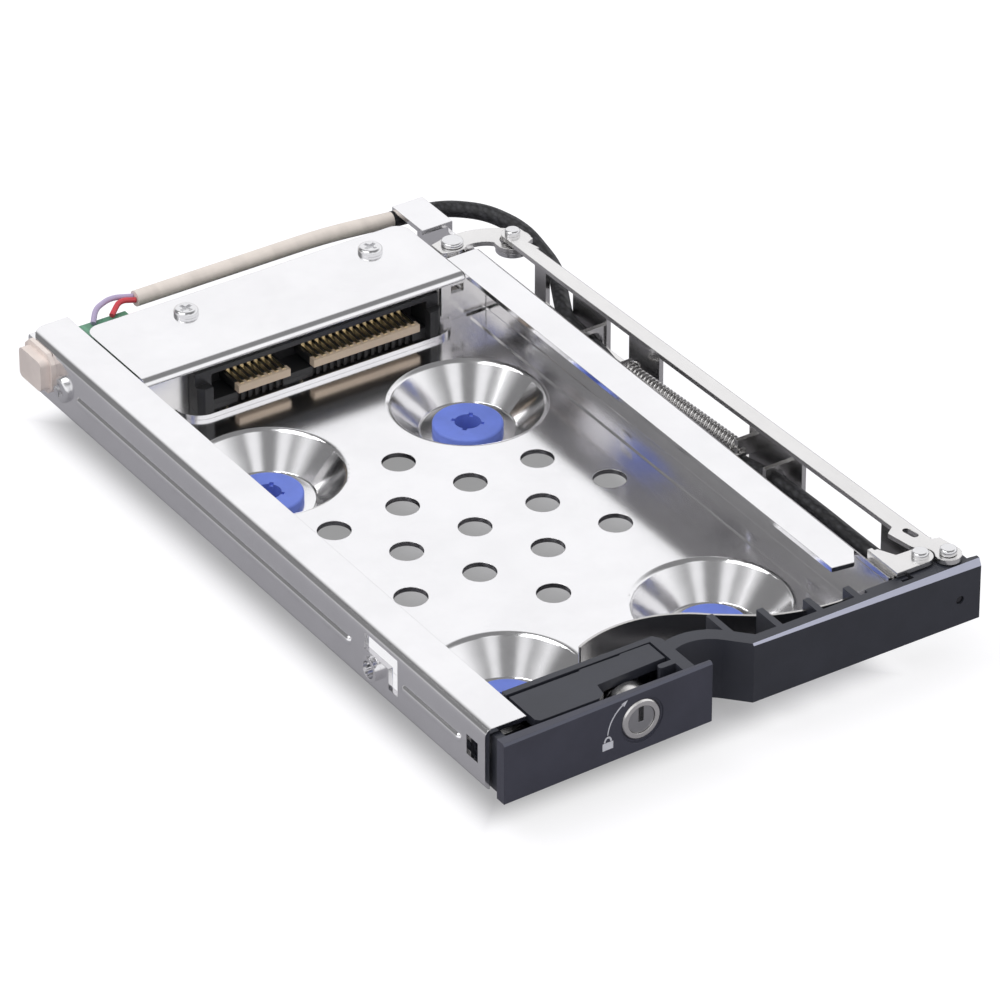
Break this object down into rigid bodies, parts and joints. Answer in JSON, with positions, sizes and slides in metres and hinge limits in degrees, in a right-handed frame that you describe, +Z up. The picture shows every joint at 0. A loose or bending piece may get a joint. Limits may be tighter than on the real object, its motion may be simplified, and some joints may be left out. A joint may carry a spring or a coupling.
{
  "type": "removable drive rack",
  "caption": "Vented sheet metal tray on rubber grommets for a thin 2.5 inch drive, with a backplane, a hinged locking front door and a linked drive ejector.",
  "frame": {"origin": "centre of the four grommets, at the level that the grommets stand on", "axes": "+X to the right seen from the door, +Y from the door to the rear, +Z up"},
  "size_m": [0.0887, 0.1355, 0.0187],
  "materials": {
    "bright_steel": "bright nickel plate",
    "satin_steel": "satin nickel plate",
    "spring_steel": "spring wire and strip",
    "screw_steel": "bright plated screws and rivets",
    "lock_metal": "plated die casting",
    "black_plastic": "fine matt",
    "black_paint": "satin anodised black",
    "dark_plastic": "satin",
    "nylon": "natural nylon",
    "board_green": "solder mask",
    "blue_rubber": "matt rubber",
    "contact_gold": "gold flash",
    "clear_plastic": "clear light pipe",
    "cable_black": "sleeving",
    "cable_beige": "wrapped tape",
    "wire_red": "insulation",
    "wire_lavender": "insulation"
  },
  "bodies": {
    "tray": {"tray": "bright_steel", "backplane_cover": "bright_steel", "connector_shelf": "bright_steel", "backplane_bracket": "satin_steel", "hinge_bracket": "satin_steel", "cover_posts": "satin_steel", "return_spring": "spring_steel", "cover_screws": "screw_steel", "side_screw": "screw_steel", "hinge_pin": "screw_steel", "lever_rivet": "screw_steel", "receptacle": "dark_plastic", "rear_data_plug": "dark_plastic", "rear_power_plug": "dark_plastic", "signal_tongue": "dark_plastic", "power_tongue": "dark_plastic", "side_bumper": "nylon", "backplane_board": "board_green", "grommet_1": "blue_rubber", "grommet_2": "blue_rubber", "grommet_3": "blue_rubber", "grommet_4": "blue_rubber", "signal_contacts": "contact_gold", "power_contacts": "contact_gold", "cable_sleeve": "cable_black", "light_lead": "cable_black", "wire_bundle": "cable_beige", "wire_red": "wire_red", "wire_lavender": "wire_lavender"},
    "door": {"door": "black_plastic", "lock_plate": "black_paint", "latch_cover": "black_plastic", "lock_barrel": "lock_metal", "light_pipe": "clear_plastic", "pressure_leaf": "spring_steel", "link_pin": "screw_steel"},
    "lock_core": {"lock_core": "lock_metal"},
    "latch_bolt": {"latch_bolt": "lock_metal"},
    "link_bar": {"link_bar": "satin_steel", "rear_link_rivet": "screw_steel"},
    "ejector_lever": {"ejector_lever": "satin_steel"}
  },
  "joints": [
    {"name": "door_hinge", "type": "hinge", "parent": "tray", "child": "door", "pos_m": [0.0422, -0.053, 0.0114], "axis": [0, 0, 1], "range_deg": [0, 90], "deforming": ["return_spring", "cable_sleeve", "light_lead"]},
    {"name": "link_pivot", "type": "hinge", "parent": "door", "child": "link_bar", "pos_m": [0.0461, -0.0547, 0.0174], "axis": [0, 0, 1], "range_deg": [-92, 0], "deforming": ["return_spring", "cable_sleeve", "light_lead"]},
    {"name": "lever_pivot", "type": "hinge", "parent": "tray", "child": "ejector_lever", "pos_m": [0.0334, 0.0614, 0.0151], "axis": [0, 0, 1], "range_deg": [0, 34]},
    {"name": "lock_turn", "type": "hinge", "parent": "door", "child": "lock_core", "pos_m": [-0.0111, -0.056, 0.0114], "axis": [0, -1, 0], "range_deg": [0, 90]},
    {"name": "latch_slide", "type": "slide", "parent": "door", "child": "latch_bolt", "axis": [-1, 0, 0], "range_m": [0, 0.0025]}
  ],
  "couplings": [
    {"joint": "link_pivot", "follows": "door_hinge", "ratio": -1.0167},
    {"joint": "lever_pivot", "follows": "door_hinge", "ratio": 0.3767},
    {"joint": "lock_turn", "follows": "latch_slide", "rad_per_m": 628.3}
  ]
}
